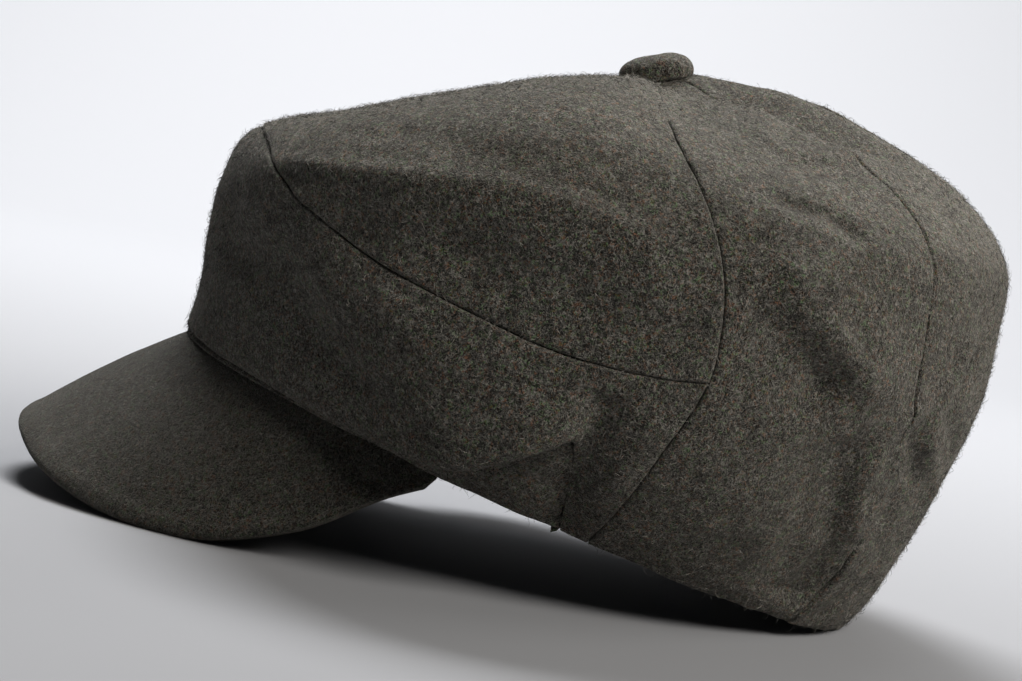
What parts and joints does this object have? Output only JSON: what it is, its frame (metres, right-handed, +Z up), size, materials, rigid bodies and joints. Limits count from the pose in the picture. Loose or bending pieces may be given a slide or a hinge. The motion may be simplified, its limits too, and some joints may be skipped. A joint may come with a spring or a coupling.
{
  "type": "newsboy cap",
  "caption": "Soft full peaked cap in melange wool: panelled crown with side pouches, low front band, stiff arched peak and covered button.",
  "frame": {"origin": "middle of the bounding box on the surface that the cap rests on", "axes": "+Z up, +Y towards the back of the cap, the peak towards -Y, +X towards the wearer's left"},
  "size_m": [0.2136, 0.273, 0.1544],
  "materials": {
    "crown_wool": "fuzzy grey-brown melange melton wool",
    "peak_wool": "the same wool drawn tight over a stiff peak"
  },
  "bodies": {
    "root": {"peak": "peak_wool", "front_band": "crown_wool", "front_panel": "crown_wool", "top_panel": "crown_wool", "back_side_left": "crown_wool", "back_side_right": "crown_wool", "back_centre_left": "crown_wool", "back_centre_right": "crown_wool", "button": "crown_wool"}
  },
  "joints": []
}
